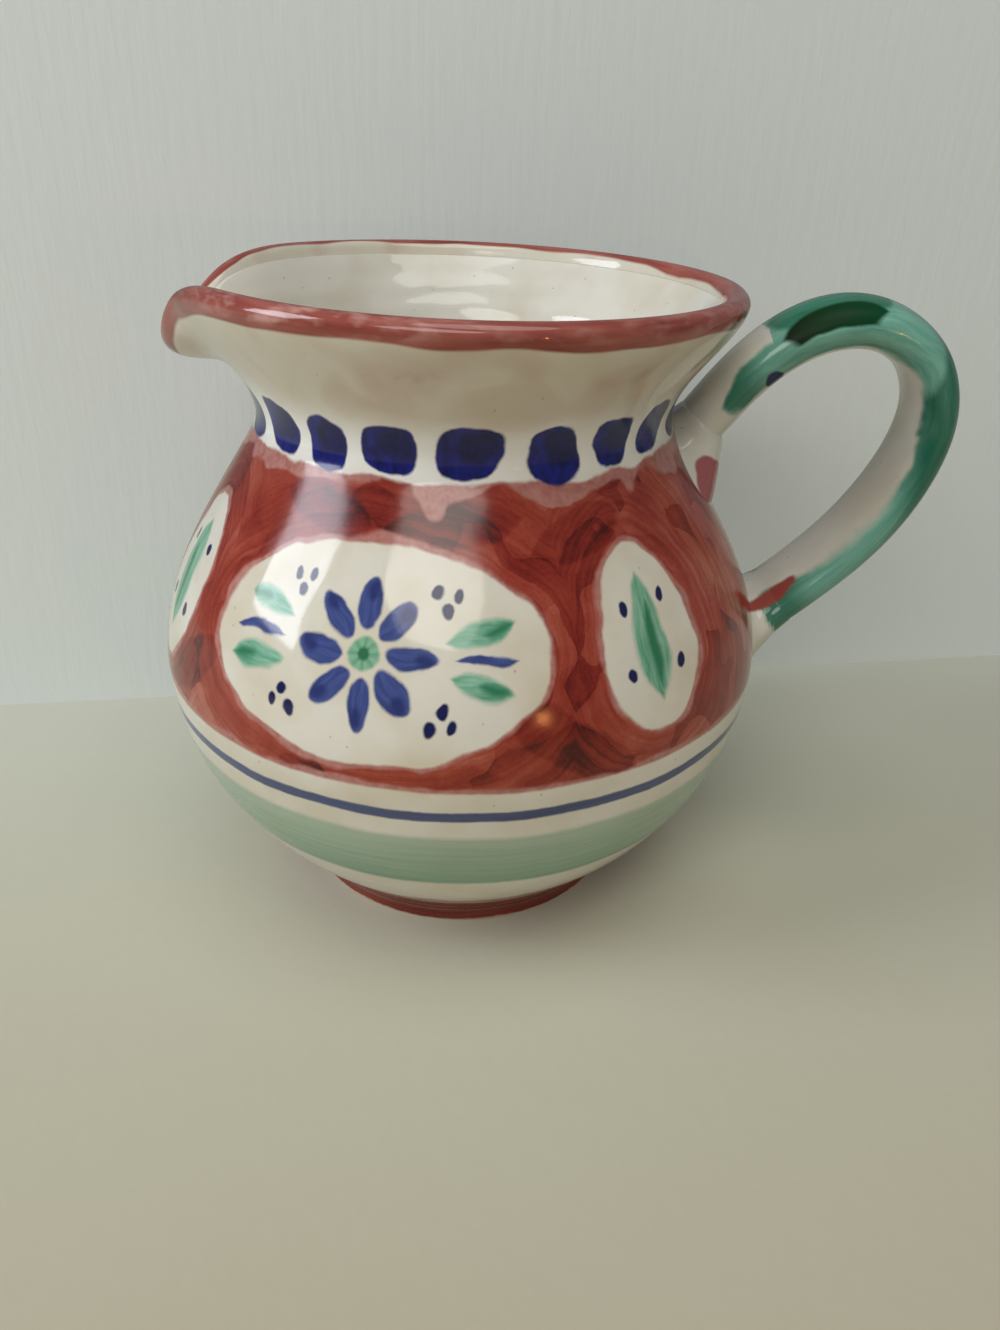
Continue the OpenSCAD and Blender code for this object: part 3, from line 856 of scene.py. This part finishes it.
# %% Pale clouds on the rim
thin = streaks(rim_frame, (0.15, 0.3, 1), detail=2)
crest_only = covered(off_band(down_the_wall, -0.5, 5.2), 1.6)
palest_round = 122
from_palest = add("ABSOLUTE", add("SUBTRACT", away_from_handle, palest_round))
pale_clouds = add("MapRange", thin, 0.45, 0.95)
for part in (crest_only, rim_band, add("MapRange", from_palest, 8, 30, 1, 0.3)):
    pale_clouds = add("MULTIPLY", pale_clouds, part)
lay(pale_clouds, "#CDA096", strength=0.8, roughness=0.1)
glaze_over()
dress(painted_glaze, body)
print("the painted finish has", len(tree.nodes), "nodes")

# %% [markdown]
# ## White glaze inside
# The inside was glazed by pouring and swirling, so it has no brushwork. The fingers' rings from
# throwing show through it as faint ridges about 5 mm apart.

# %% Cream lining
cream_glaze = open_finish("poured_cream_tin_glaze")
poured = hand_drawn(0.6, 0.1)
tin_glaze("#DEDACE", "#D0C8B5")
ring_spacing, ring_depth = 5.2, 0.05
poured_up = round_and_up(poured)[1]
ring_turn = add("MULTIPLY", poured_up, 2 * math.pi / ring_spacing)
glaze_over(add("MULTIPLY", add("SINE", ring_turn), ring_depth))
dress(cream_glaze, lining)

# %% [markdown]
# ## Red foot
# The foot was wiped with the same iron red as the ground, thick enough to be nearly brown. The face
# that stands on the kiln shelf has to stay bare, or it would stick, so it shows the buff clay.

# %% Foot finish
foot_glaze = open_finish("dark_red_glaze_with_bare_standing_face")
foot_place = hand_drawn(0.4, 0.2)
foot_up = round_and_up(foot_place)[1]
tin_glaze("#DFDACD", "#CFC4AC")
foot_streaks = streaks(foot_place, (0.05, 0.05, 0.8))
red_from, bare_height = 39.5, 0.75
off_outer_side = add("SUBTRACT", red_from, from_axis(foot_place))
lay(covered(off_outer_side, 0.6), ("#5E140E", "#843226"), foot_streaks)
off_bare = add("SUBTRACT", foot_up, bare_height)
lay(covered(off_bare, 0.3), ("#B98D6C", "#D0AA8A"), streaks(foot_place, (1.2,) * 3),
    roughness=0.8)
glaze_over()
dress(foot_glaze, foot)

# %% [markdown]
# ## Green handle
# Copper green was stroked along the outside of the strap in a few long pulls, pale where thin and
# dark where the brush stopped to reload. The thickest patch, on top, fired nearly black and matt.
# The inner face stayed white.

# %% The green's strokes
top_span, end_span = 15.5, 14  # mm in a span, on top and near the ends
green_from, green_to = 0.62, 7.82  # spans
inner_edges = (  # (share of the strap, 0.5 + mm out / 24)
    (0.2, 0.36), (0.43, 0.32), (0.56, 0.34), (0.68, 0.345), (0.735, 0.375), (0.8, 0.385),
    (0.87, 0.365), (0.915, 0.335))

def green_strokes(loose_place):
    """Lays the copper green over the white of the strap or of a joint."""
    wander = add("SeparateXYZ", add("VectorMath SUBTRACT", loose_place, in_mm())).node.outputs
    places = add("Attribute", out="Vector", attribute_name="strap_place")
    places = add("SeparateXYZ", places).node.outputs
    along = add("MULTIPLY_ADD", wander["X"], 0.05, places["X"])
    outwards = add("ADD", places["Y"], wander["Z"])
    inner_edge = add("FloatCurve", 1, add("DIVIDE", along, spans))
    curve = inner_edge.node.mapping.curves[0]
    curve.points[0].location, curve.points[1].location = (0, 0.38), (1, 0.3)
    for place, out_share in inner_edges:
        curve.points.new(place, out_share)
    inner_edge.node.mapping.update()
    edge_out = add("MapRange", inner_edge, To_Min=-12, To_Max=12)
    off_inner = add("SUBTRACT", edge_out, outwards)
    off_ends = add("MULTIPLY", off_band(along, green_from, green_to), end_span)
    first_reach = add("MapRange", along, green_from, 0.9, 1.0, 3.8)
    over_the_top = add("MapRange", along, 1.35, 1.52, 0, 8)
    off_first = add("SUBTRACT", outwards, add("ADD", first_reach, over_the_top))
    off_green = add("SMOOTH_MAX", off_inner, off_ends, 2.5)
    off_green = add("SMOOTH_MAX", off_green, off_first, 1)
    from_thin = add("ABSOLUTE", add("SUBTRACT", along, 6.7))
    edge_width = add("MapRange", from_thin, 0.3, 0.8, 3, 1)
    off_edge = add("DIVIDE", off_green, edge_width)
    long_frame = add("CombineXYZ", along, outwards, places["Z"])
    pull = streaks(long_frame, (0.9, 0.5, 0.4))
    lay(covered(off_edge, 0.4), ("#549584", "#84B8A6"), pull)
    leaning = add("MULTIPLY_ADD", outwards, 0.1, along)
    starts = covered(add("SUBTRACT", 4.15, leaning), 0.16)
    leaning_back = add("MULTIPLY_ADD", outwards, -0.12, along)
    ends_here = covered(add("SUBTRACT", leaning_back, 6.15), 0.45)
    inside_edge = covered(off_edge, 0.6)
    deep = streaks(long_frame, (0.6, 0.35, 0.3), 0.72, 1)
    for part in (starts, ends_here, inside_edge):
        deep = add("MULTIPLY", deep, part)
    lay(deep, "#15604A", roughness=0.1)
    between_ends = covered(add("MULTIPLY", off_band(along, 0.95, 7.45), end_span), 3)
    reload = add("MULTIPLY", add("SUBTRACT", 1, between_ends), inside_edge)
    lay(reload, "#17644A", strength=0.8, roughness=0.1)
    top_flat = add("CombineXYZ", add("MULTIPLY", along, top_span), places["Z"])
    on_top = covered(add("SUBTRACT", 0.6, outwards), 0.4)
    patch = off_oval(add("VectorMath SUBTRACT", top_flat, (2.2 * top_span, -1.5, 0)), 12.5, 9)
    core = off_dab(top_flat, (2.14 * top_span, -8.4), 10.6, 3.1)
    lay(covered(patch, 0.9), ("#1E6446", "#37836A"), pull, strength=on_top, roughness=0.18)
    settled = add("MapRange", along, 1.5, 2.8)
    lay(covered(core, 0.6), ("#14260E", "#024022"), settled, strength=on_top, roughness=0.4,
        shine=0.1)

# %% Red touches over the joints
def red_touches(loose_place):
    """Lays a red and a rose dab over the joints, each from one end to the other in mm."""
    for near, far, wide, colour in (
            ((73.0, -10.4, 76.0), (82.2, -8.2, 81.6), 3.1, "#96453E"),
            ((60.5, -12.0, 104.5), (55.8, -12.6, 112.0), 4.6, "#A55C60")):
        way = Vector(far) - Vector(near)
        reach = add("VectorMath SUBTRACT", loose_place, near)
        share = add("Clamp", add("VectorMath DOT_PRODUCT", reach, tuple(way / way.length_squared)))
        gap = add("VectorMath DISTANCE", reach, add("VectorMath SCALE", tuple(way), Scale=share))
        swell = add("MULTIPLY", share, add("SUBTRACT", 1, share))
        half = add("MULTIPLY_ADD", swell, 1.6 * wide, 0.6 * wide)
        lay(covered(add("SUBTRACT", gap, half), 0.5), colour, roughness=0.12)

# %% Strap finish
green_glaze = open_finish("copper_green_strokes_on_white_strap")
strap_hand = (0.9, 0.1)
strap_loose = hand_drawn(*strap_hand)
tin_glaze("#D9D9D0", "#CCC8BA")
green_strokes(strap_loose)
spot_place, spot_radius = (70.8, -8.9, 131), 2.6
from_spot = add("VectorMath LENGTH", add("VectorMath SUBTRACT", strap_loose, spot_place))
lay(covered(add("SUBTRACT", from_spot, spot_radius), 0.35), navy, roughness=0.07)
red_touches(strap_loose)
glaze_over()
dress(green_glaze, strap)

# %% [markdown]
# ## White joints
# The wads were smoothed with a wet finger and glazed white. The strap's green and the ground's red run
# over their edges, and the prints of the finger show as low bumps under the gloss.

# %% Joint finish
white_glaze = open_finish("tin_glazed_thumbed_joint")
joint_place = hand_drawn(*strap_hand)
tin_glaze("#D9D9D0", "#CCC5B2")
green_strokes(joint_place)
red_touches(joint_place)
coat["shine"] = full_shine
thumb_prints = add("TexNoise", Vector=in_mm(), Scale=1 / 4.5, Detail=2)
glaze_over(add("MULTIPLY", thumb_prints, 0.12))
dress(white_glaze, upper_joint, lower_joint)

# %% [markdown]
# # The set
# The jug stands on a pale floor, just in front of a pale wall, as in the photograph. Both are stage
# pieces, of matt paper that scatters light evenly and shows faint fibres, with painted shade that
# makes it darker and warmer towards the front. Both are seen from their fronts only, and the wall
# casts nothing on the jug, so a look from behind or below isn't blocked. The floor has a hole that
# the foot ring hides, so that light reaches the underside.

# %% Pale paper
def paper_finish(name, shaded_near_colour, lit_far_colour, grain_size):
    """A pale matt paper with faint fibres, and painted shade: darker and warmer towards -Y. It isn't there
    from behind.
    """
    finish = open_finish(name)
    place = in_mm()
    clouds = add("TexNoise", Vector=place, Scale=1 / 120, Detail=3)
    # Painted shade: the tone goes from the shaded, warmer near colour at the front to the lit far colour.
    tone = add("MapRange", add("SeparateXYZ", place, out="Y"), -180, 90, 0, 0.9)
    tone = add("MULTIPLY_ADD", clouds, 0.1, tone)
    fibres = add("TexNoise", Vector=add("VectorMath DIVIDE", place, grain_size), Scale=1, Detail=4)
    uneven = add("Bump", Height=fibres, Distance=0.25 * MM, Strength=0.5)
    paper = add("BsdfPrincipled", Base_Color=between(tone, (shaded_near_colour, lit_far_colour)),
                Roughness=0.75, IOR=1.45, Normal=uneven)
    behind = add("NewGeometry", out="Backfacing")
    paper = add("MixShader", behind, paper, add("BsdfTransparent"))
    add("OutputMaterial", paper)
    return finish

# %% Floor
hole_radius, floor_growth = 42 * MM, 42
floor = begin("pale_floor", bpy.ops.mesh.primitive_circle_add, vertices=96, radius=hole_radius)
bpy.ops.mesh.extrude_region_move()
bpy.ops.transform.resize(value=(floor_growth, floor_growth, 1), center_override=(0, 0, 0))
close()
floor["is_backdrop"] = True
print("the floor's normal points", "up" if floor.data.polygons[0].normal.z > 0 else "down")
# The floor's near colour is painted shade, darker and warmer towards the front.
dress(paper_finish("pale_floor_paper", "#B8AF95", "#D3D5C5", (6, 6, 6)), floor)

# %% Wall
wall_turn = math.atan2(43.4, 372.2)
wall_width, wall_height = 1.5, 1.2
bpy.ops.object.select_all(action="DESELECT")
bpy.ops.mesh.primitive_plane_add(size=1, location=(13.7 * MM, 82.7 * MM, wall_height / 2),
                                 rotation=(math.radians(90), 0, wall_turn))
plane = bpy.context.object
plane.name = plane.data.name = "pale_wall"
plane.scale = (wall_width, wall_height, 1)
bpy.ops.object.transform_apply(location=True, rotation=True, scale=True)
plane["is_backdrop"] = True
dress(paper_finish("pale_wall_paper", "#E1E7E5", "#E6ECEB", (2.5, 2.5, 22)), plane)
plane.visible_diffuse = plane.visible_shadow = plane.visible_glossy = False
print("the wall is turned", round(math.degrees(wall_turn), 1), "degrees")

# %% [markdown]
# ## Light
# The room was lit by a window at the left and daylight from the front and above; one small warm
# lamp makes the spark low on the belly. Large area lamps give that soft light.

# %% Lamps
def lamp(name, direction, distance, size, power, colour, shape="ELLIPSE"):
    """An area lamp that looks at the jug's middle from a direction."""
    data = bpy.data.lights.new(name, "AREA")
    data.shape = shape
    data.size, data.size_y = size
    data.energy = power
    data.color = linear(colour)[:3]
    light = bpy.data.objects.new(name, data)
    bpy.context.scene.collection.objects.link(light)
    target = Vector((0, 0, 0.08))
    light.location = target + Vector(direction).normalized() * distance
    light.rotation_euler = (target - light.location).to_track_quat("-Z", "Y").to_euler()
    print(name, "gives", power, "W from", distance, "m")

lamp("window_left", (-0.85, -0.19, 0.49), 1.3, (0.5, 0.7), 8.6, "#EEF5FF", "RECTANGLE")
lamp("front_ceiling", (-0.18, -0.75, 0.64), 1.5, (1.0, 0.6), 5.6, "#FFFCF4")
lamp("overhead", (0.1, -0.25, 1.0), 1.4, (0.9, 0.9), 5, "#FFFEFA")
lamp("warm_lamp", (0.46, -0.88, 0.06), 0.9, (0.02, 0.02), 0.14, "#FFB060")

# %% World
world = bpy.data.worlds.new("soft_room")
bpy.context.scene.world = world
world.use_nodes = True
tree = world.node_tree
tree.nodes.clear()
seen = add("LightPath", out="Is Camera Ray")
room_level = add("MapRange", seen, To_Min=0.24, To_Max=0.8)
add("OutputWorld", add("Background", "#ECF1F1", room_level))

# %% [markdown]
# ## Camera
# The photograph was taken from close by, a little above the rim and almost square to the handle.
# These numbers come from fitting a pinhole camera to the rim, the bands and the foot: pixels,
# metres and radians.

# %% Place the camera
focal, away, above = 1000, 0.237557, 0.182628
yaw, down, roll = 0.042153, 0.502862, 0.028913
photo_height, sensor = 1330, 36
camera_data = bpy.data.cameras.new("photo_camera")
camera_data.sensor_width = sensor
camera_data.lens = focal / photo_height * sensor
camera_data.clip_start = 0.01
camera = bpy.data.objects.new("photo_camera", camera_data)
bpy.context.scene.collection.objects.link(camera)
camera.matrix_world = (
    Matrix.Translation((0, -away, above)) @ Matrix.Rotation(-yaw, 4, "Z")
    @ Matrix.Rotation(math.pi / 2 - down, 4, "X") @ Matrix.Rotation(roll, 4, "Z"))
bpy.context.scene.camera = camera
bpy.context.scene.view_settings.view_transform = "Standard"

# %% [markdown]
# ## The size of the dressed jug
# The dressed jug's box is measured and printed in mm, to set beside the CAD model's box.
# The dressed jug has to stay in the CAD model's box.

# %% Measure the sizes
sizes = {"cad": [list(corner) for corner in cad_box], "visual": [list(corner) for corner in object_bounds()]}
print("visual box in mm:", [[round(c / MM, 1) for c in corner] for corner in sizes["visual"]])
